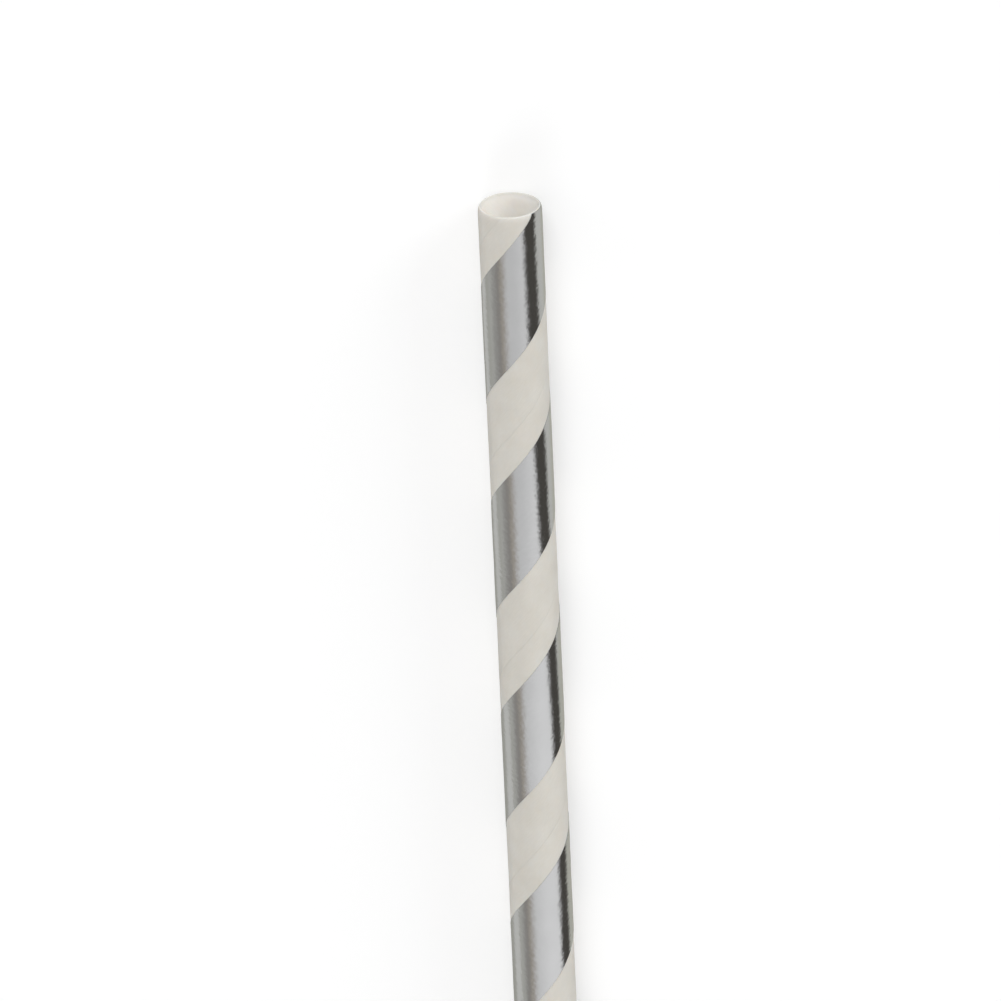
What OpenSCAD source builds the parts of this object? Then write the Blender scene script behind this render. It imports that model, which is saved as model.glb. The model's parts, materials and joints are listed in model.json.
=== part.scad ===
// Paper drinking straw with a helical foil stripe, lying on its side.
// Strips of paper are wound round and glued on each other. The outermost one lies edge to
// edge, so its width and the tube's diameter set the angle of the winding. The seam between
// its turns and the foil stripe glued on it both follow that one helix.
// Millimetres, +Z up. The straw lies along X with its mouth end at +X, and the origin is
// under its middle, on the surface that it lies on.

/* [Tube] */
// Outside diameter
outer_d = 6; // [5:0.1:12]
// Thickness of the wall, three glued plies
wall = 0.4; // [0.3:0.02:0.8]
// Length from cut to cut
length = 197; // [60:1:260]
// Radius of the burnished corners at both cuts
lip_r = 0.08; // [0.03:0.01:0.12]

/* [Winding] */
// Width of the outermost paper strip
strip_w = 14.25; // [10.5:0.25:15]
// Gap left between neighbouring turns of that strip
seam_gap = 0.2; // [0.1:0.05:0.5]
// Depth of the seam, down to the glue that fills the rest of the gap
seam_depth = 0.05; // [0.02:0.01:0.15]
// Where the seam meets the mouth, in degrees from the top, anticlockwise from the mouth
seam_turn = -16; // [-180:1:180]

/* [Foil stripe] */
// Width of the foil, across the strip
foil_w = 7.6; // [2:0.1:8]
// Bare paper between the seam and the foil, across the strip
foil_inset = 2.35; // [0.2:0.05:5]
// Thickness of the foil
foil_t = 0.025; // [0.015:0.005:0.05]
// Film of glue between the foil and the paper
glue_t = 0.005; // [0.002:0.001:0.01]

/* [Hidden] */
$fn = 96;
// Angle that a flat of a wound band takes up, and flats of a burnished corner
flat_turn = 15;
lip_flats = 5;
// Size of a wound band's blunt tips, along the tube
tip = 0.1;
// How far what cuts the seam runs past the tube, and how far the seam's floor runs past it
spare = 0.15;
floor_spare = 2 * spare;

outer_r = outer_d / 2;
bore_r = outer_r - wall;
// The straw lies on the foil, on the flats of it that are lowest
rest_r = outer_r + glue_t + foil_t;
// The strip and its gap close on themselves after one turn, which sets the angle
repeat_w = strip_w + seam_gap;
winding_angle = asin(repeat_w / (PI * outer_d));
pitch = PI * outer_d * tan(winding_angle);

// The size along the tube of a size w across the strip
function along(w) = w / cos(winding_angle);

// A point in the tube's own frame, which stands on its far cut
function on_tube(r, turn, z) = [r * cos(turn), r * sin(turn), z];

// A line of the winding keeps its place, its distance across the strip from the middle of
// the seam, away from the mouth. These give its height at a turn, and its turn at a height.
function height_at(turn, place) = length - along(place) + (turn - 180 - seam_turn) * pitch / 360;
function turn_at(z, place) = 180 + seam_turn + (z + along(place) - length) * 360 / pitch;

// The turn a, and then the edge of each flat up to b, without b. A flat's middle is at turn
// 0, which is the line that the straw lies on.
function edges(a, b) = concat(
    [a],
    [
        for (k = [floor(a / flat_turn + 0.5) : 1 : ceil(b / flat_turn - 0.5) - 1])
            (k + 0.5) * flat_turn
    ]
);

// A burnished corner with its centre at c, a quarter turn from the direction a
function lip(c, a) = [
    for (i = [0 : lip_flats])
        let (turn = a + 90 * i / lip_flats)
        c + lip_r * [cos(turn), sin(turn)]
];

// Lays a tube that stands at the origin along X
module lay() {
    translate([-length / 2, 0, rest_r])
        rotate([0, 90, 0])
            children();
}

// A four-cornered section carried up the helix in flats. place is its mouth-side edge and w
// its width across the strip. The middles of its flats lie from_r and to_r from the axis, and
// from and to are where it is cut off level.
module wound_band(place, w, from_r, to_r, from, to) {
    rise = along(w);
    inner = from_r / cos(flat_turn / 2);
    outer = to_r / cos(flat_turn / 2);
    corners = [for (z = [from + tip, from + rise, to, to + rise - tip]) turn_at(z, place)];
    turns = concat(
        edges(corners[0], corners[1]), edges(corners[1], corners[2]),
        edges(corners[2], corners[3]), [corners[3]]
    );
    points = [
        for (turn = turns)
            let (z = height_at(turn, place), low = max(from, z - rise), high = min(to, z))
            each [
                on_tube(inner, turn, low), on_tube(inner, turn, high),
                on_tube(outer, turn, high), on_tube(outer, turn, low)
            ]
    ];
    top = 4 * (len(turns) - 1);
    sides = [
        for (k = [0 : 4 : top - 4], i = [0 : 3])
            let (j = (i + 1) % 4)
            [k + 4 + i, k + 4 + j, k + j, k + i]
    ];
    ends = [[0, 1, 2, 3], [top + 3, top + 2, top + 1, top]];
    polyhedron(points, concat(sides, ends), convexity = 20);
}

// The gap between the turns of the outermost strip, whose floor is a true cylinder
module seam() {
    difference() {
        wound_band(
            -seam_gap / 2, seam_gap, outer_r - seam_depth - spare, outer_r + spare,
            -spare, length + spare
        );
        translate([0, 0, -floor_spare])
            cylinder(r = outer_r - seam_depth, h = length + 2 * floor_spare);
    }
}

// The wall's section turned round the axis, less the seam
module paper_tube() {
    color("#d9d3c5")
        lay()
            difference() {
                rotate_extrude()
                    polygon(concat(
                        lip([outer_r - lip_r, lip_r], -90),
                        lip([outer_r - lip_r, length - lip_r], 0),
                        lip([bore_r + lip_r, length - lip_r], 90),
                        lip([bore_r + lip_r, lip_r], 180)
                    ));
                seam();
            }
}

// The foil runs from one burnished corner to the other
module foil_stripe() {
    color("#c9cbd0")
        lay()
            wound_band(
                seam_gap / 2 + foil_inset, foil_w, outer_r + glue_t, rest_r,
                lip_r, length - lip_r
            );
}

paper_tube();
foil_stripe();
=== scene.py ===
# %% [markdown]
# # A paper drinking straw with a silver foil stripe
#
# The real straw is three narrow strips of paper, wound round a rod one on top of the other
# and glued. The outermost strip has a stripe of bright foil along it, so the finished tube
# shows foil and bare paper side by side, both running round it like a barber's pole.
#
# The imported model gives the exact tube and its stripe. It is loaded first and never moved.
# Its box is kept, because what is made here has to stay inside it.

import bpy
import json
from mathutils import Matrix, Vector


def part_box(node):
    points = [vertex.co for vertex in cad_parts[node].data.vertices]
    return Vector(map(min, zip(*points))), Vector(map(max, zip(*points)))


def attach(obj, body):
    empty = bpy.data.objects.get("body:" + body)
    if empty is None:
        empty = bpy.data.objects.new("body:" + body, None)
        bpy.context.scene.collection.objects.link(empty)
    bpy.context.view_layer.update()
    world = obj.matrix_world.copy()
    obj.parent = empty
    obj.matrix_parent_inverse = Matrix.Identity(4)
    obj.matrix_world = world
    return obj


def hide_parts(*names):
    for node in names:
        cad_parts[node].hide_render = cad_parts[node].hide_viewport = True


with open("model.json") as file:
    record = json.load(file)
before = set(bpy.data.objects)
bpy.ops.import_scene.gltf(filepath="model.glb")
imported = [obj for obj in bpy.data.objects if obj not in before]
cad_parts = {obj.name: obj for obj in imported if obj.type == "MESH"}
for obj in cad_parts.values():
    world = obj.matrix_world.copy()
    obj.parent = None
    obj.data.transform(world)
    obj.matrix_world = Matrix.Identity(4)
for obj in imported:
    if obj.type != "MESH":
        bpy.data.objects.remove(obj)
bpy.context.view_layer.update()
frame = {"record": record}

MM = 0.001


# %% [markdown]
# ## Sizes
#
# Every size comes from the model or from the few widths that a straw maker would set. The
# tube lies along X with its mouth at the high end, and it touches the floor with its foil.
# A mesh of flat facets measures a little small, so its sizes are rounded to 0.01 mm.

# %% Sizes that the model gives
import json
import math

import bpy
import numpy as np
from mathutils import Matrix, Vector


def to_size(length):
    """A length in metres that was measured on facets, to the nearest 0.01 mm."""
    return round(length / MM, 2) * MM


tube_low, tube_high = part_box("paper_tube")
foil_low, foil_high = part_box("foil_stripe")
mounts = {mount["name"]: mount for mount in frame["record"]["mounts"]}

CUT_X = to_size(tube_low.x)
MOUTH_X = to_size(tube_high.x)
OUTER_R = mounts["outside"]["dims"]["r_mm"] * MM
BORE_R = mounts["bore"]["dims"]["r_mm"] * MM
FOIL_R = to_size((foil_high.z - foil_low.z) / 2)
AXIS_Z = mounts["bore"]["pos_m"][2]
WALL = OUTER_R - BORE_R
print(f"length {(MOUTH_X - CUT_X) / MM:.1f} mm, outside {2 * OUTER_R / MM:.2f} mm across")

# %% [markdown]
# ## The winding
#
# A strip that lies edge to edge closes on itself after one turn. Its width and the small gap
# beside it, taken across the strip, are therefore the tube's circumference times the sine of
# the winding angle. Everything wound shares that angle: the seam, the foil and the seam of
# the innermost strip.
#
# A line on the strip is named by its place, the distance across the strip from the seam. Its
# turn round the tube is then a straight function of how far along the tube one looks, and
# that one formula places every winding edge of the straw.

# %% The helix that everything wound follows
STRIP_W = 14.25 * MM
SEAM_GAP = 0.2 * MM
SEAM_TURN = math.radians(-16)

REPEAT = STRIP_W + SEAM_GAP
WINDING = math.asin(REPEAT / (2 * math.pi * OUTER_R))
PITCH = 2 * math.pi * OUTER_R * math.tan(WINDING)


def turn_of(x, place):
    """The turn in radians, from straight up towards -Y, of a line of the winding.

    It is the seam's turn at the mouth, plus one turn for each pitch along the tube, plus one
    turn for each whole strip across the winding.
    """
    return SEAM_TURN + 2 * math.pi * ((x - MOUTH_X) / PITCH + place / REPEAT)


def on_tube(x, turn, radius):
    """Points at a distance along the tube, a turn round it and a radius, as rows of x, y, z."""
    x, turn, radius = np.broadcast_arrays(x, turn, radius)
    return np.stack([x, -radius * np.sin(turn), AXIS_Z + radius * np.cos(turn)], axis=-1)


print(f"winding angle {math.degrees(WINDING):.1f} degrees, one turn every {PITCH / MM:.2f} mm")

# %% [markdown]
# ## Unevenness
#
# Wet glue and paper never dry perfectly round. On bright foil even a few thousandths of a
# millimetre show, because a mirror doubles every slope. The wall's surface is raised and
# lowered by a sum of gentle sine waves, each of which closes on itself round the tube. Real
# relief is better here than bump alone, because it also bends the straw's outline and is
# there in every view.

# %% Gentle waves in the wall
WAVE_SEED = 28
WAVE_COUNT = 60
WAVE_SHORTEST = 1.6 * MM
WAVE_LONGEST = 9.0 * MM
WAVE_SLOPE = math.radians(0.20)
SKIN_SPARE = 0.006 * MM
SAMPLES = 400


def wall_waves():
    """Draws each wave's height, whole number of waves round, radians a metre along, and start.

    A wave is as high as its length times WAVE_SLOPE over a full turn, so all are as steep.
    """
    draw = np.random.default_rng(WAVE_SEED)
    length = WAVE_SHORTEST * (WAVE_LONGEST / WAVE_SHORTEST) ** draw.random(WAVE_COUNT)
    heading = draw.uniform(0, math.pi, WAVE_COUNT)
    around = np.round(2 * math.pi * OUTER_R * np.cos(heading) / length)
    along = 2 * math.pi * np.sin(heading) / length
    start = draw.uniform(0, 2 * math.pi, WAVE_COUNT)
    return length * WAVE_SLOPE / (2 * math.pi), around, along, start


WAVES = list(zip(*wall_waves()))


def unevenness(x, turn):
    """How far the wall stands out, in metres: the sum of height * sin(n turn + k x + start).

    It is held inside the spare that the skin has below the model's own radius.
    """
    total = sum(h * np.sin(n * turn + k * x + start) for h, n, k, start in WAVES)
    return SKIN_SPARE * np.tanh(total / SKIN_SPARE)


sample_turns = np.linspace(0, 2 * math.pi, SAMPLES)
sample_waves = unevenness(np.linspace(CUT_X, MOUTH_X, SAMPLES)[:, None], sample_turns)
print(f"the wall is uneven by {np.ptp(sample_waves) / MM:.4f} mm in all")

# %% [markdown]
# The knife doesn't cut quite square either. Each end falls short by a few hundredths of a
# millimetre, more at some turns than at others. The rows near an end follow it, and the ones
# further in stay where they are.

# %% Cut ends that aren't quite square
CUT_WANDER = 0.05 * MM
CUT_FADE = 2.5 * MM
CUT_WAVES = (
    # each wave's whole number of waves round, its share and its start in radians
    (1, 1.0, 0.6),
    (3, 0.5, 2.1),
    (7, 0.3, 4.0),
)
FAR_CUT_START = 2.5


def cut_wander(turn):
    """How far a cut end falls short at a turn, in metres: three slow sine waves, never below 0."""
    slow = sum(share * np.sin(n * turn + start) for n, share, start in CUT_WAVES)
    most = sum(share for _, share, _ in CUT_WAVES)
    return CUT_WANDER * (0.5 + 0.5 * slow / most)


def settle_cuts(x, turn):
    """Moves the last few millimetres at both ends inwards by the cut's wander, fading out."""
    near_mouth = np.clip(1 - (MOUTH_X - x) / CUT_FADE, 0, 1) ** 2
    near_cut = np.clip(1 - (x - CUT_X) / CUT_FADE, 0, 1) ** 2
    return x - near_mouth * cut_wander(turn) + near_cut * cut_wander(turn + FAR_CUT_START)


print(f"the mouth's cut falls short by up to {cut_wander(sample_turns).max() / MM:.3f} mm")

# %% [markdown]
# ## From a grid to a mesh
#
# Both pieces are grids: rows of points along the tube, columns round its section. A grid
# whose rows and columns both close on themselves has no border at all, like the skin of a
# ring. A tube with a bore is exactly that. The foil is a grid that is closed round its thin
# section and capped at its two ends. The mesh's own volume then tells whether its faces
# point outwards, because an inside-out mesh measures less than nothing.

# %% Make a mesh from a grid of points


def grid_quads(rows, columns, closed_rows):
    """The corner numbers of a grid's quads. Columns close on themselves, rows do if asked."""
    row = np.arange(rows if closed_rows else rows - 1)[:, None]
    column = np.arange(columns)[None, :]
    next_row, next_column = (row + 1) % rows, (column + 1) % columns
    corners = [
        row * columns + column,
        row * columns + next_column,
        next_row * columns + next_column,
        next_row * columns + column,
    ]
    return np.stack([c.ravel() for c in corners], axis=-1)


def end_caps(rows, columns):
    """Quads that close a flat section whose second half runs back along its first half."""
    left = np.arange(columns // 2 - 1)
    right = columns - 1 - left
    first = np.stack([left, right, right - 1, left + 1], axis=-1)
    last = first[:, ::-1] + (rows - 1) * columns
    return np.concatenate([first, last])


def mesh_from_grid(name, points, closed_rows):
    """A smooth-shaded mesh object from a grid of points, with faces that point outwards."""
    rows, columns, _ = points.shape
    quads = grid_quads(rows, columns, closed_rows)
    if not closed_rows:
        quads = np.concatenate([quads, end_caps(rows, columns)])
    mesh = bpy.data.meshes.new(name)
    mesh.from_pydata(points.reshape(-1, 3), [], quads)
    mesh.shade_smooth()
    mesh.update()
    piece = bpy.data.objects.new(name, mesh)
    bpy.context.scene.collection.objects.link(piece)
    return piece


# %% Measure a mesh


def volume_mm3(piece):
    """The volume inside a closed mesh: the sum of the pyramids from the origin to each face."""
    mesh = piece.data
    mesh.calc_loop_triangles()
    corner = np.empty(3 * len(mesh.loop_triangles), np.int64)
    mesh.loop_triangles.foreach_get("vertices", corner)
    place = np.empty(3 * len(mesh.vertices))
    mesh.vertices.foreach_get("co", place)
    a, b, c = place.reshape(-1, 3)[corner.reshape(-1, 3)].transpose(1, 0, 2)
    return float(np.einsum("ij,ij->i", a, np.cross(b, c)).sum() / 6 / MM**3)


def print_piece(piece):
    """Prints a piece's triangles, of which each quad is two, and its volume."""
    triangles = 2 * len(piece.data.polygons)
    print(f"{piece.name}: {triangles} triangles, {volume_mm3(piece):.1f} mm3")


# %% [markdown]
# A pattern that follows a piece has to be told where it is. A number stored at each point
# tells the paper where its seams, its cuts and its bore are. A UV map unwinds the strip, so
# that the fibres can run along it and not along the tube.

# %% Store numbers and a map on a mesh
CM = 0.01


def add_value(piece, name, values):
    """Stores one number for each point, for a material to read with an Attribute node."""
    layer = piece.data.attributes.new(name, "FLOAT", "POINT")
    layer.data.foreach_set("value", np.ravel(values).astype(np.float32))


def add_strip_map(piece, x, place):
    """A UV map that unwinds the paper: u along the strip and v across it, both in centimetres.

    u is the way round times the cosine of the winding angle, plus the way along the tube
    times its sine. The last column wraps to the first, so its far corners get the place one
    strip on.
    """
    columns = x.shape[1]
    corner = np.empty(len(piece.data.loops), np.int64)
    piece.data.loops.foreach_get("vertex_index", corner)
    face = np.arange(len(corner)) // 4
    column = corner % columns
    wraps = (face % columns == columns - 1) & (column == 0)
    across = place.ravel()[corner] + REPEAT * wraps
    axial = x.ravel()[corner]
    around = OUTER_R * turn_of(axial, across)
    along = around * math.cos(WINDING) + axial * math.sin(WINDING)
    layer = piece.data.uv_layers.new(name="strip")
    unwound = np.stack([along, across], axis=-1) / CM
    layer.data.foreach_set("uv", unwound.ravel().astype(np.float32))


# %% [markdown]
# ## The paper tube
#
# The wall is one closed skin. Each column of the grid keeps its place on the strip, so it
# runs round the tube as a helix, and the seam between the strip's turns is simply a dip in
# a few neighbouring columns. Drawn on a straight grid, the same seam would need a far finer
# mesh and would still look like a staircase. The innermost strip has its own seam in the
# bore, a quarter of a strip round from the outer one. Glue fills most of a seam, so what
# still shows of it is narrower and shallower than the gap between the strip's turns.

# %% Columns round the tube
SEAM_WIDTH = 0.12 * MM
SEAM_DEPTH = 0.02 * MM
SEAM_EDGE = 0.03 * MM
BORE_SEAM_DEPTH = 0.03 * MM
BORE_SEAM_PLACE = 0.25 * REPEAT
PLAIN_COLUMNS = 82
COLUMN_GAP = 0.05 * MM


def ease(share):
    """A smooth rise from 0 to 1: share squared times (3 - 2 share), with share held in 0 to 1."""
    share = np.clip(share, 0, 1)
    return share * share * (3 - 2 * share)


def apart(place, other):
    """How far apart two places are across the strip, the shorter way round."""
    return np.abs((place - other + REPEAT / 2) % REPEAT - REPEAT / 2)


def seam_dip(place, middle):
    """The seam's share of its full depth: 1 across its floor, easing to 0 over its edges."""
    return 1 - ease((apart(place, middle) - SEAM_WIDTH / 2 + SEAM_EDGE) / (2 * SEAM_EDGE))


def seam_columns(middle):
    """Places of the columns that draw one seam: its middle, and three for each of its edges."""
    half = SEAM_WIDTH / 2
    right = np.array([half - SEAM_EDGE, half, half + SEAM_EDGE])
    return middle + np.concatenate([-right[::-1], [0], right])


def column_places():
    """All columns' places, from one seam's middle to the next, close together at both seams."""
    seams = np.concatenate([seam_columns(0) % REPEAT, seam_columns(BORE_SEAM_PLACE)])
    plain = np.linspace(0, REPEAT, PLAIN_COLUMNS, endpoint=False)
    clear = apart(plain[:, None], seams).min(axis=1) > COLUMN_GAP
    return np.sort(np.concatenate([plain[clear], seams]))


print(len(column_places()), "columns round the tube")

# %% [markdown]
# ## The lips
#
# The knife burnishes the cut ends round. A bevel could round them evenly. A superellipse
# draws the whole lip in one formula, and its power says how full the lip is. Two fine dips
# in it are the lines of glue between the three plies.

# %% The lip's profile
PLIES = 3
LIP_DEPTH = 0.6 * MM
LIP_POWER = 1.8
LIP_STEPS = 16
GLUE_LINE = 0.006 * MM


def rounded(share):
    """A quarter of a superellipse: 1 - (1 - share^n)^(1/n), with LIP_POWER for n."""
    return 1 - (1 - share**LIP_POWER) ** (1 / LIP_POWER)


def lip_depth(across):
    """How far the lip stands back from the cut, across the wall from 1 outside to -1 inside.

    It is flat in the middle, and it runs into both sides of the wall without a corner.
    """
    return LIP_DEPTH * rounded(np.abs(across))


def lip_drop(depth):
    """How far the lip lies below the wall's outside at a depth from the cut.

    A superellipse is its own mirror image, so the same quarter of it turns a depth into a
    drop: half the wall at the cut, and 0 from LIP_DEPTH on.
    """
    return WALL / 2 * rounded(1 - np.clip(depth / LIP_DEPTH, 0, 1))


def lip(end_x, inwards):
    """The lip's profile at one cut, from the outside to the bore, as (x, radius) rows.

    It is the superellipse with a dip at the glue between each two plies, GLUE_LINE deep and as
    wide to each side. inwards is the direction along X from the cut into the tube.
    """
    angle = np.linspace(math.pi / 2, -math.pi / 2, LIP_STEPS + 1)
    smooth = np.sign(angle) * np.abs(np.sin(angle)) ** (2 / LIP_POWER)
    lines = 1 - 2 * np.arange(1, PLIES) / PLIES
    width = GLUE_LINE / (WALL / 2)
    across = -np.sort(-np.concatenate([smooth, lines - width, lines, lines + width]))
    depth = lip_depth(across) + GLUE_LINE * np.isin(across, lines)
    radius = BORE_R + WALL / 2 * (1 + across)
    return np.stack([end_x + inwards * depth, radius], axis=-1)


print(len(lip(MOUTH_X, -1)), "points across a lip")

# %% [markdown]
# The wall's profile goes along the outside, round the mouth's lip, back through the bore and
# round the other lip. Each of its points is a row of the grid. The outside has closer rows
# than the bore, because the wall's waves show there.

# %% Build the paper tube
OUTER_STEP = 0.3 * MM
BORE_STEP = 0.9 * MM


def wall_profile():
    """The wall cut lengthways: along the outside, round the mouth's lip, back and round."""
    low, high = CUT_X + LIP_DEPTH, MOUTH_X - LIP_DEPTH
    outer_x = np.linspace(low, high, round((high - low) / OUTER_STEP))[1:-1]
    bore_x = np.linspace(high, low, round((high - low) / BORE_STEP))[1:-1]
    return np.concatenate([
        np.stack([outer_x, np.full_like(outer_x, OUTER_R)], axis=-1),
        lip(MOUTH_X, -1),
        np.stack([bore_x, np.full_like(bore_x, BORE_R)], axis=-1),
        lip(CUT_X, 1)[::-1],
    ])


def build_paper():
    """The wall's skin: each profile point carried round the tube along the columns' places.

    The waves and both seams fade out across the wall: the waves towards the bore, and the
    seams towards the wall's middle.
    """
    profile = wall_profile()
    x, place = np.broadcast_arrays(profile[:, :1], column_places()[None, :])
    radius = np.broadcast_to(profile[:, 1:], x.shape)
    turn = turn_of(x, place)
    share_out = (radius - BORE_R) / WALL
    outer_dip = seam_dip(place, 0) * np.clip(2 * share_out - 1, 0, 1)
    bore_dip = seam_dip(place, BORE_SEAM_PLACE) * np.clip(1 - 2 * share_out, 0, 1)
    waves = unevenness(x, turn) - SKIN_SPARE
    radius = radius + share_out * waves - SEAM_DEPTH * outer_dip + BORE_SEAM_DEPTH * bore_dip
    piece = mesh_from_grid("straw_paper", on_tube(settle_cuts(x, turn), turn, radius), True)
    add_value(piece, "seam", outer_dip + bore_dip)
    add_value(piece, "cut", np.clip(1 - np.minimum(MOUTH_X - x, x - CUT_X) / LIP_DEPTH, 0, 1))
    add_value(piece, "bore", 1 - share_out)
    add_strip_map(piece, x, place)
    return piece


straw_paper = build_paper()
print_piece(straw_paper)

# %% [markdown]
# ## The foil stripe
#
# The foil is a closed band a few hundredths of a millimetre thick, glued on the outermost
# strip. Its columns also keep their places on the strip, so both of its edges are true
# helices, and its rows end level with the cuts. It takes the same unevenness as the paper
# below it and bends over the lip with it, so it never lifts off or sinks in. Smooth shading
# blends a bend into the next face, so two columns close to each edge keep the shine from
# rolling over further than the edge itself does.

# %% Build the foil stripe
FOIL_INSET = 2.35 * MM
FOIL_W = 7.6 * MM
FOIL_COLUMNS = 58
FOIL_EDGE = 0.012 * MM
FOIL_STEP = 0.3 * MM
FOIL_END = 0.05 * MM
FOIL_BEND_STEP = 0.03 * MM
GLUE_T = 0.003 * MM


def foil_section():
    """The foil's places and heights above the paper, over the top and back underneath.

    Both edges of the top are bevelled by FOIL_EDGE.
    """
    start = SEAM_GAP / 2 + FOIL_INSET
    inner = np.linspace(2 * FOIL_EDGE, FOIL_W - 2 * FOIL_EDGE, FOIL_COLUMNS)
    edge = np.array([0, FOIL_EDGE])
    place = start + np.concatenate([edge, inner, FOIL_W - edge[::-1]])
    top = np.full(place.shape, FOIL_R - OUTER_R)
    top[[0, -1]] -= FOIL_EDGE
    under = np.full(place.shape, GLUE_T)
    return np.concatenate([place, place[::-1]]), np.concatenate([top, under])


def foil_rows():
    """Places of the rows along the tube, close together where the foil bends over the lips."""
    bend = np.arange(FOIL_END, LIP_DEPTH, FOIL_BEND_STEP)
    low, high = CUT_X + LIP_DEPTH, MOUTH_X - LIP_DEPTH
    middle = np.linspace(low, high, round((high - low) / FOIL_STEP))
    return np.concatenate([CUT_X + bend, middle, MOUTH_X - bend[::-1]])


def build_foil():
    """The foil's section carried along the tube. It turns with the winding, stands out by the
    wall's unevenness and falls off with the lips.
    """
    place, height = foil_section()
    x, place = np.broadcast_arrays(foil_rows()[:, None], place[None, :])
    turn = turn_of(x, place)
    drop = lip_drop(np.minimum(MOUTH_X - x, x - CUT_X))
    radius = OUTER_R + height - drop + unevenness(x, turn) - SKIN_SPARE
    return mesh_from_grid("straw_foil", on_tube(settle_cuts(x, turn), turn, radius), False)


straw_foil = build_foil()
print_piece(straw_foil)

# %% [markdown]
# ## Building materials
#
# A small helper adds a node, sets its sockets and links its inputs in one call, so that each
# material reads as a short recipe.

# %% Helpers for node materials


def add_node(tree, kind, links=None, **values):
    """Adds a node. links maps an input's name or number to an output socket or a value."""
    node = tree.nodes.new(kind)
    for name, value in values.items():
        setattr(node, name, value)
    for name, source in (links or {}).items():
        if isinstance(source, bpy.types.NodeSocket):
            tree.links.new(source, node.inputs[name])
        else:
            node.inputs[name].default_value = source
    return node


def new_material(name):
    """An empty node material with its output node. Returns the material, tree and output."""
    material = bpy.data.materials.new(name)
    material.use_nodes = True
    tree = material.node_tree
    tree.nodes.clear()
    return material, tree, tree.nodes.new("ShaderNodeOutputMaterial")


def stored_value(tree, name):
    """A number that add_value stored on the mesh."""
    return add_node(tree, "ShaderNodeAttribute", attribute_name=name).outputs["Fac"]


def stretched(tree, vector, scale):
    """A vector with each of its three parts scaled, which squeezes a pattern by as much."""
    return add_node(tree, "ShaderNodeMapping", {"Vector": vector, "Scale": scale}).outputs[0]


def noise(tree, vector, scale, detail=2.0, roughness=0.5):
    """The 0 to 1 output of a noise texture with scale features in each unit of the vector."""
    settings = {"Vector": vector, "Scale": scale, "Detail": detail, "Roughness": roughness}
    return add_node(tree, "ShaderNodeTexNoise", settings).outputs["Fac"]


def math_node(tree, operation, *inputs):
    """The result of a Math node on sockets or numbers."""
    node = add_node(tree, "ShaderNodeMath", dict(enumerate(inputs)), operation=operation)
    return node.outputs[0]


# %% Helpers that spread a value and mix colours
NOISE_RANGE = (0.3, 0.7)


def remap(tree, value, low, high, to_low=0.0, to_high=1.0):
    """Stretches a value from one range to another, and holds it there."""
    settings = {0: value, 1: low, 2: high, 3: to_low, 4: to_high}
    return add_node(tree, "ShaderNodeMapRange", settings).outputs[0]


def mix_colour(tree, factor, first, second, blend="MIX"):
    """Mixes two colours, or multiplies the first by the second."""
    node = add_node(tree, "ShaderNodeMix", data_type="RGBA", blend_type=blend)
    for name, source in (("Factor_Float", factor), ("A_Color", first), ("B_Color", second)):
        socket = next(s for s in node.inputs if s.identifier == name)
        if isinstance(source, bpy.types.NodeSocket):
            tree.links.new(source, socket)
        else:
            socket.default_value = source
    return next(s for s in node.outputs if s.identifier == "Result_Color")


def tint(tree, colour, pattern, low, high):
    """Multiplies a colour by low where a noise is darkest, by high where it is brightest.

    A noise hardly ever leaves NOISE_RANGE, so that much of it makes the whole change.
    """
    shade = mix_colour(tree, remap(tree, pattern, *NOISE_RANGE), low, high)
    return mix_colour(tree, 1.0, colour, shade, "MULTIPLY")


def bump(tree, height, distance):
    """The normal of a surface that stands out by distance where height is 1."""
    return add_node(tree, "ShaderNodeBump", {"Height": height, "Distance": distance}).outputs[0]


# %% [markdown]
# ## Paper
#
# The strip is uncoated off-white paper. Close up it is cloudy, with fibres that lie mostly
# along the strip because the paper machine combs them that way. The unwound map carries
# those fibres round the helix. The bore is coloured paler than the outside, which is painted
# light for the light that reaches into the mouth. The seams are a little darker, where glue
# and shadow sit, and the cuts a little cooler, where the knife opens up clean fibres. Light
# sinks about a quarter of a millimetre into the paper before it comes out again, which lets
# the bore glow.

# %% Make the paper
PAPER = (0.74, 0.717, 0.663, 1)
# The bore's colour: the paper made paler, as painted light for the light inside the mouth
BORE_PAINTED_LIGHT = (0.92, 0.90, 0.865, 1)
# Where the bore's paler colour, which is painted light, begins and is reached, from 0 at the
# outside to 1 at the bore
INNER_STRIP = (0.8, 1.0)
SEAM_SHADE = (0.965, 0.965, 0.965, 1)
CUT_SHADE = (0.97, 0.985, 1.015, 1)
CLOUDS_PER_M = 420
CLOUD_TINTS = ((0.975, 0.965, 0.95, 1), (1.02, 1.02, 1.02, 1))
FIBRES_PER_CM = (12, 75, 1)
FIBRE_TINTS = ((0.975, 0.972, 0.965, 1), (1.015, 1.015, 1.015, 1))
GRAINS_PER_M = 5200
PAPER_RELIEF = 0.006 * MM
PAPER_ROUGHNESS = (0.62, 0.74)
PAPER_IOR = 1.45
# The share of the light that sinks in, how deep, and how deep red, green and blue go of that
SINK_SHARE = 0.6
SINK_DEPTH = 0.25 * MM
SINK_COLOURS = (1.0, 0.88, 0.76)


def paper_colour(tree, clouds, fibres):
    """The strip's colour, paler in the bore as painted light, tinted by both noises, the seams
    and the cuts.
    """
    inner = remap(tree, stored_value(tree, "bore"), *INNER_STRIP)
    colour = mix_colour(tree, inner, PAPER, BORE_PAINTED_LIGHT)
    colour = tint(tree, colour, clouds, *CLOUD_TINTS)
    colour = tint(tree, colour, fibres, *FIBRE_TINTS)
    colour = mix_colour(tree, stored_value(tree, "seam"), colour, SEAM_SHADE, "MULTIPLY")
    return mix_colour(tree, stored_value(tree, "cut"), colour, CUT_SHADE, "MULTIPLY")


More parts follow.
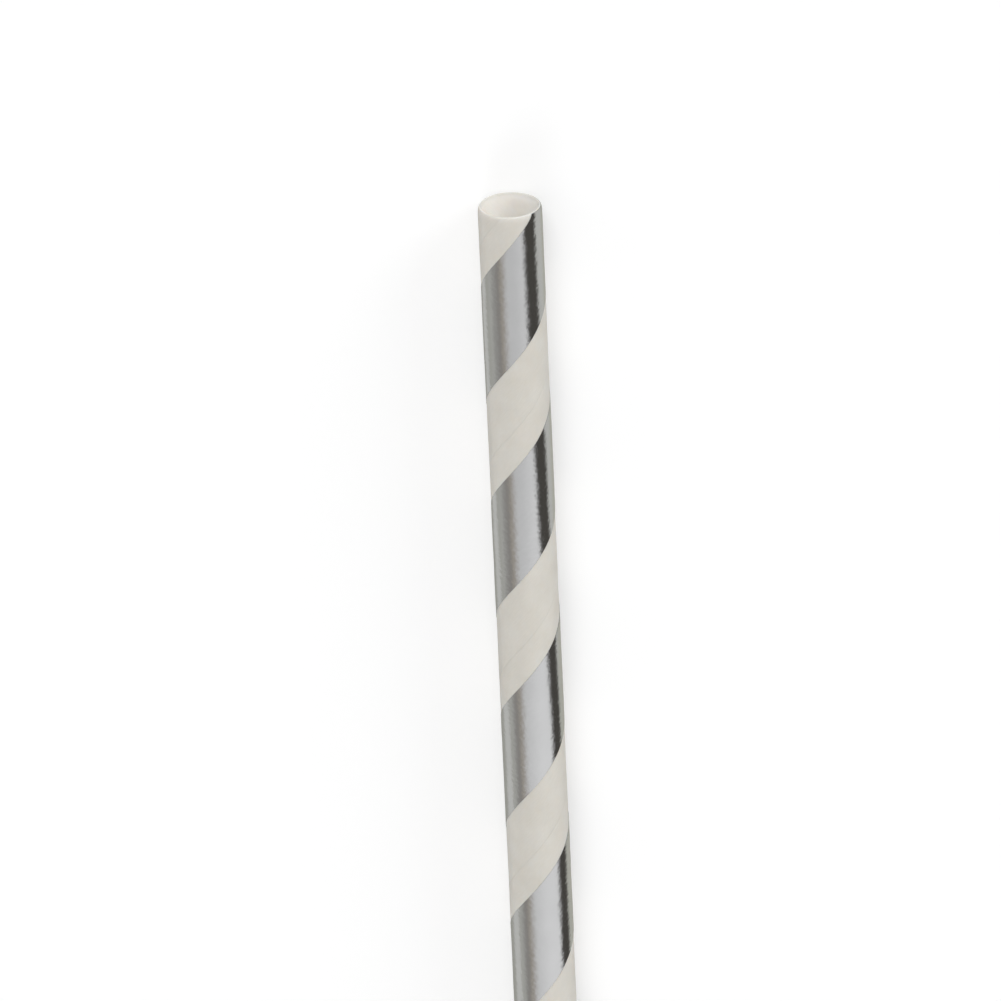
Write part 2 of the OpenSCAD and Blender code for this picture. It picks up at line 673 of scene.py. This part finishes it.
def paper_material():
    """Matte paper: clouds and fibres in the colour, and fibres and grain in the bump."""
    material, tree, output = new_material("wound paper")
    unwound = add_node(tree, "ShaderNodeUVMap", uv_map="strip").outputs["UV"]
    placed = add_node(tree, "ShaderNodeTexCoord").outputs["Object"]
    fibres = noise(tree, stretched(tree, unwound, FIBRES_PER_CM), 1.0, detail=3.0, roughness=0.6)
    clouds = noise(tree, placed, CLOUDS_PER_M)
    grain = noise(tree, placed, GRAINS_PER_M)
    shader = add_node(tree, "ShaderNodeBsdfPrincipled", {
        "Base Color": paper_colour(tree, clouds, fibres),
        "Roughness": remap(tree, clouds, *NOISE_RANGE, *PAPER_ROUGHNESS),
        "Normal": bump(tree, math_node(tree, "ADD", fibres, grain), PAPER_RELIEF),
        "IOR": PAPER_IOR,
        "Subsurface Weight": SINK_SHARE,
        "Subsurface Radius": SINK_COLOURS,
        "Subsurface Scale": SINK_DEPTH,
    })
    tree.links.new(shader.outputs[0], output.inputs["Surface"])
    return material


straw_paper.data.materials.append(paper_material())
print("paper:", len(straw_paper.data.materials[0].node_tree.nodes), "nodes")

# %% [markdown]
# ## Foil
#
# Bright aluminium foil on paper is a mirror with an orange peel: the fibres below press
# through it. Its reflections keep their place but get ragged edges, with ripples that are
# two thirds of a millimetre wide round the tube and half as long along it. A bump of that
# size gives them, on top of the mesh's own waves. Larger patches are a little duller.

# %% Make the foil
FOIL = (0.875, 0.878, 0.885, 1)
FOIL_TINTS = ((1, 1, 1, 1), (0.97, 0.97, 0.97, 1))
FOIL_ROUGHNESS = (0.13, 0.18)
PATCHES_PER_M = 330
PEEL_PER_M = 1500
PEEL_SQUEEZE = (2, 1, 1)
PEEL_RELIEF = 0.038 * MM


def foil_material():
    """Foil over paper: a slightly blurred mirror whose bump has ripples of several sizes."""
    material, tree, output = new_material("silver foil")
    placed = add_node(tree, "ShaderNodeTexCoord").outputs["Object"]
    peel = noise(tree, stretched(tree, placed, PEEL_SQUEEZE), PEEL_PER_M)
    patches = noise(tree, placed, PATCHES_PER_M)
    shader = add_node(tree, "ShaderNodeBsdfPrincipled", {
        "Base Color": tint(tree, FOIL, patches, *FOIL_TINTS),
        "Metallic": 1.0,
        "Roughness": remap(tree, patches, *NOISE_RANGE, *FOIL_ROUGHNESS),
        "Normal": bump(tree, peel, PEEL_RELIEF),
    })
    tree.links.new(shader.outputs[0], output.inputs["Surface"])
    return material


straw_foil.data.materials.append(foil_material())
print("foil:", len(straw_foil.data.materials[0].node_tree.nodes), "nodes")

# %% [markdown]
# ## Hand the pieces to the model
#
# Nothing on a straw moves, so both pieces ride on its one body. Each stands for the plain
# solid that it dresses.

# %% Ride and replace
for piece, node, slot in (
    (straw_paper, "paper_tube", "paper"),
    (straw_foil, "foil_stripe", "foil"),
):
    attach(piece, "root")
    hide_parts(node)
    print(piece.name, "stands for", node)

# %% [markdown]
# ## The floor
#
# The straw lies on a plain pale floor. Its own lit colour is a light grey. To the camera, and
# to reflections, it glows a little as well, just enough to reach white where no shadow falls.
# So the soft shadow stays, and no extra light reaches the straw.

# %% A pale floor that keeps the shadow
FLOOR_SIZE = 6.0
FLOOR_DROP = 0.02 * MM
FLOOR_GREY = 0.64
FLOOR_GLOW = 0.46


def seen_directly(tree):
    """1 for camera, glossy and transmission rays, which look at a thing, and 0 for the rest."""
    path = add_node(tree, "ShaderNodeLightPath").outputs
    seen = math_node(tree, "MAXIMUM", path["Is Camera Ray"], path["Is Glossy Ray"])
    return math_node(tree, "MAXIMUM", seen, path["Is Transmission Ray"])


def floor_material():
    """A matte grey that glows for what looks at it, and not for what it lights."""
    material, tree, output = new_material("pale floor")
    seen = seen_directly(tree)
    matte = add_node(
        tree, "ShaderNodeBsdfDiffuse", {"Color": (FLOOR_GREY, FLOOR_GREY, FLOOR_GREY, 1)}
    )
    glow = add_node(
        tree, "ShaderNodeEmission", {"Strength": math_node(tree, "MULTIPLY", seen, FLOOR_GLOW)}
    )
    both = add_node(tree, "ShaderNodeAddShader", {0: matte.outputs[0], 1: glow.outputs[0]})
    tree.links.new(both.outputs[0], output.inputs["Surface"])
    return material


def build_floor():
    """One large square just below what lies on it."""
    half = FLOOR_SIZE / 2
    corners = [(-half, -half), (half, -half), (half, half), (-half, half)]
    mesh = bpy.data.meshes.new("floor")
    mesh.from_pydata([(x, y, -FLOOR_DROP) for x, y in corners], [], [(0, 1, 2, 3)])
    mesh.materials.append(floor_material())
    floor = bpy.data.objects.new("floor", mesh)
    bpy.context.scene.collection.objects.link(floor)


build_floor()
print("floor:", FLOOR_SIZE, "m square")

# %% [markdown]
# ## Light
#
# Four wide soft lamps light the straw: a strong one on its right and a faint one on its left,
# one past its mouth that brightens the cut and reaches into the bore, and a weak one behind
# for the far end. Each is a sun with a wide disc. That gives the soft shadow of a large lamp
# and lights the floor evenly as far as it goes. The world adds plain light from all round. To
# the camera and to reflections it is white, as the floor is.

# %% Lamps
LAMP_WIDTH = math.radians(31)
LAMPS = {
    # name: the direction to the lamp, and its light on a surface that faces it
    "right lamp": (Vector((0.60, -0.75, 0.25)), 0.40),
    "left lamp": (Vector((0.30, 0.92, 0.25)), 0.08),
    "end lamp": (Vector((0.80, 0.12, 0.59)), 0.48),
    "back lamp": (Vector((-0.80, 0.25, 0.55)), 0.16),
}


def add_lamp(name, direction, level):
    """A soft sun. level is the light it gives, where 1 shows a colour as it is written.

    A matte surface sends light out over a half sphere, which divides it by pi. Reflections
    don't show the lamp itself, because the foil has a tent of its own to mirror.
    """
    lamp = bpy.data.lights.new(name, "SUN")
    lamp.angle = LAMP_WIDTH
    lamp.energy = level * math.pi
    holder = bpy.data.objects.new(name, lamp)
    holder.rotation_mode = "QUATERNION"
    holder.rotation_quaternion = direction.to_track_quat("Z", "Y")
    holder.visible_glossy = False
    bpy.context.scene.collection.objects.link(holder)
    print(f"{name}: level {level}")


for name, settings in LAMPS.items():
    add_lamp(name, *settings)

# %% The world
PLAIN_LIGHT = 0.38


def build_world():
    """White to the camera and to reflections, and plain grey light to all the rest."""
    world = bpy.data.worlds.new("studio")
    world.use_nodes = True
    tree = world.node_tree
    tree.nodes.clear()
    plain = (PLAIN_LIGHT, PLAIN_LIGHT, PLAIN_LIGHT, 1)
    colour = mix_colour(tree, seen_directly(tree), plain, (1, 1, 1, 1))
    background = add_node(tree, "ShaderNodeBackground", {"Color": colour, "Strength": 1.0})
    output = tree.nodes.new("ShaderNodeOutputWorld")
    tree.links.new(background.outputs[0], output.inputs["Surface"])
    bpy.context.scene.world = world


build_world()
bpy.context.scene.view_settings.view_transform = "Standard"
print("world: plain light", PLAIN_LIGHT)

# %% [markdown]
# ## A tent for the foil
#
# A mirror has no look of its own, so what it sees has to be designed too. Photographers put a
# shiny thing in a tent of pale cloth, and hang a black flag in it for one firm dark line. The
# tent here is a surface that only reflections see. The camera looks through it, and no light
# on the paper or the floor changes.
#
# Foil at some turn round the straw mirrors what lies at twice that turn. So the columns of the
# tent's grid are those mirrored rays, each followed out to the tent's wall or down to the
# floor. A cloth that hangs from one ray to another then shows between two turns of the foil.
# The edges of the black flag and of most cloths bend as they go down the straw.

# %% The cloths of the tent
BEND_END = 54 * MM
CLOTHS = (
    # the angle where each cloth takes over in degrees, how far its edge bends in degrees per
    # square centimetre, how soft the edge is in degrees, and the cloth's colour
    (-180, 0.0, 1, (0.34, 0.34, 0.31)),
    (-148, 0.7, 16, (0.50, 0.50, 0.48)),
    (-122, 1.0, 14, (0.36, 0.36, 0.33)),
    (-102, 0.6, 14, (0.38, 0.38, 0.355)),
    (-84, 0.3, 18, (0.29, 0.285, 0.27)),
    (-66, 0.0, 14, (0.24, 0.23, 0.215)),
    (-52, 0.0, 12, (0.31, 0.285, 0.25)),
    (-33, 0.0, 30, (0.525, 0.525, 0.525)),
    (35, -1.4, 90, (0.68, 0.68, 0.68)),
    (44.5, 1.0, 22, (0.06, 0.056, 0.05)),
    (97, 0.82, 18, (0.48, 0.48, 0.455)),
    (137, -0.6, 24, (0.42, 0.42, 0.37)),
)


def cloth_colours(down, degrees):
    """The tent's colour at each distance down the straw and each angle, as rows of R, G, B.

    Each cloth takes over from the one before it. Its share rises smoothly from 0 to 1 across
    its edge, whose angle grows with the square of the distance down the straw, to BEND_END.
    """
    colour = np.zeros((*np.broadcast_shapes(down.shape, degrees.shape), 3))
    bent = (np.clip(down, 0, BEND_END) / CM) ** 2
    for first, bend, softness, cloth in CLOTHS:
        share = ease((degrees - first - bend * bent) / softness + 0.5)
        colour += share[..., None] * (np.array(cloth) - colour)
    return colour


print(len(CLOTHS), "cloths")

# %% Hang the tent
TENT_R = 30 * MM
TENT_HALF = 300 * MM
TENT_LIFT = 0.05 * MM
TENT_ROWS = 121
TENT_COLUMNS = 241
LAST_RAY = 178.0
# A ray that falls by less than this, for each metre that it runs, never reaches the floor
LEAST_FALL = 0.001
# How far a ray slides down the straw for each metre that it runs across the tent
RAY_SLIDE = 0.5


def mirrored_rays(angle):
    """How far each mirrored ray runs across the tent, and where it ends, sideways and up.

    A ray starts on the foil at half its own angle. It ends at the tent's wall, TENT_R from the
    straw's axis, or just above the floor, whichever comes first.
    """
    turn = angle / 2
    start_side, start_up = OUTER_R * np.sin(turn), OUTER_R * np.cos(turn)
    to_wall = np.sqrt(TENT_R**2 - start_side**2) - start_up
    to_floor = (AXIS_Z + start_up - TENT_LIFT) / np.maximum(-np.cos(angle), LEAST_FALL)
    run = np.minimum(to_wall, to_floor)
    return run, start_side + run * np.sin(angle), AXIS_Z + start_up + run * np.cos(angle)


def tent_material():
    """Glows in the cloths' own colours."""
    material, tree, output = new_material("tent cloth")
    cloth = add_node(tree, "ShaderNodeAttribute", attribute_name="cloth").outputs["Color"]
    glow = add_node(tree, "ShaderNodeEmission", {"Color": cloth, "Strength": 1.0})
    tree.links.new(glow.outputs[0], output.inputs["Surface"])
    return material


def build_tent():
    """The mirrored rays' ends, repeated along the straw. A ray also slides down the straw."""
    x = np.linspace(-TENT_HALF, TENT_HALF, TENT_ROWS)[:, None]
    degrees = np.linspace(-LAST_RAY, LAST_RAY, TENT_COLUMNS)[None, :]
    run, side, up = mirrored_rays(np.radians(degrees))
    colours = cloth_colours(MOUTH_X - x - RAY_SLIDE * run, degrees)
    points = np.stack(np.broadcast_arrays(x, -side, up), axis=-1)
    mesh = bpy.data.meshes.new("light_tent")
    mesh.from_pydata(points.reshape(-1, 3), [], grid_quads(TENT_ROWS, TENT_COLUMNS, False))
    layer = mesh.attributes.new("cloth", "FLOAT_COLOR", "POINT")
    solid = np.concatenate([colours, np.ones_like(colours[..., :1])], axis=-1)
    layer.data.foreach_set("color", solid.astype(np.float32).ravel())
    mesh.materials.append(tent_material())
    tent = bpy.data.objects.new("light_tent", mesh)
    bpy.context.scene.collection.objects.link(tent)
    for ray in ("camera", "diffuse", "transmission", "volume_scatter", "shadow"):
        setattr(tent, "visible_" + ray, False)
    return tent


light_tent = build_tent()
print("light_tent:", len(light_tent.data.polygons), "faces")

# %% [markdown]
# ## Camera
#
# The picture looks down at the mouth end from 1.1 m away. How far the mouth's circle closes
# to an ellipse gives the slope of the view, and how fast the straw narrows gives the
# distance. The camera is first aimed at the mouth, rolled as the picture is, and then
# turned until the mouth sits where the picture has it.

# %% Camera
IMAGE_PX = 1001
MOUTH_PX = (509.5, 204.6)
VIEW_SLOPE = math.radians(24.85)
VIEW_ROLL = math.radians(2.59)
VIEW_DISTANCE = 1.094
NEAREST = 0.05
FARTHEST = 20.0
PX_PER_MM = 10.733
SENSOR_MM = 36.0


def build_camera():
    """Looks from the slope, distance and roll at which the mouth and the stripes line up."""
    camera = bpy.data.cameras.new("camera")
    camera.sensor_width = SENSOR_MM
    reach_px = VIEW_DISTANCE / MM * PX_PER_MM
    camera.lens = SENSOR_MM * reach_px / IMAGE_PX
    camera.clip_start = NEAREST
    camera.clip_end = FARTHEST
    back = Vector((math.sin(VIEW_SLOPE), 0, math.cos(VIEW_SLOPE)))
    right = Vector((0, -1, 0))
    up = back.cross(right)
    aim = Matrix((right, up, back)).transposed().to_4x4()
    half = IMAGE_PX / 2
    to_right = math.atan((MOUTH_PX[0] - half) / reach_px)
    upwards = math.atan((half - MOUTH_PX[1]) / reach_px)
    turned = Matrix.Rotation(-upwards, 4, "X") @ Matrix.Rotation(to_right, 4, "Y")
    place = Vector((MOUTH_X, 0, AXIS_Z)) + VIEW_DISTANCE * back
    holder = bpy.data.objects.new("camera", camera)
    holder.matrix_world = (
        Matrix.Translation(place) @ aim @ Matrix.Rotation(-VIEW_ROLL, 4, "Z") @ turned
    )
    bpy.context.scene.collection.objects.link(holder)
    bpy.context.scene.camera = holder
    print(f"camera: {camera.lens:.0f} mm lens, {VIEW_DISTANCE} m from the mouth")


build_camera()
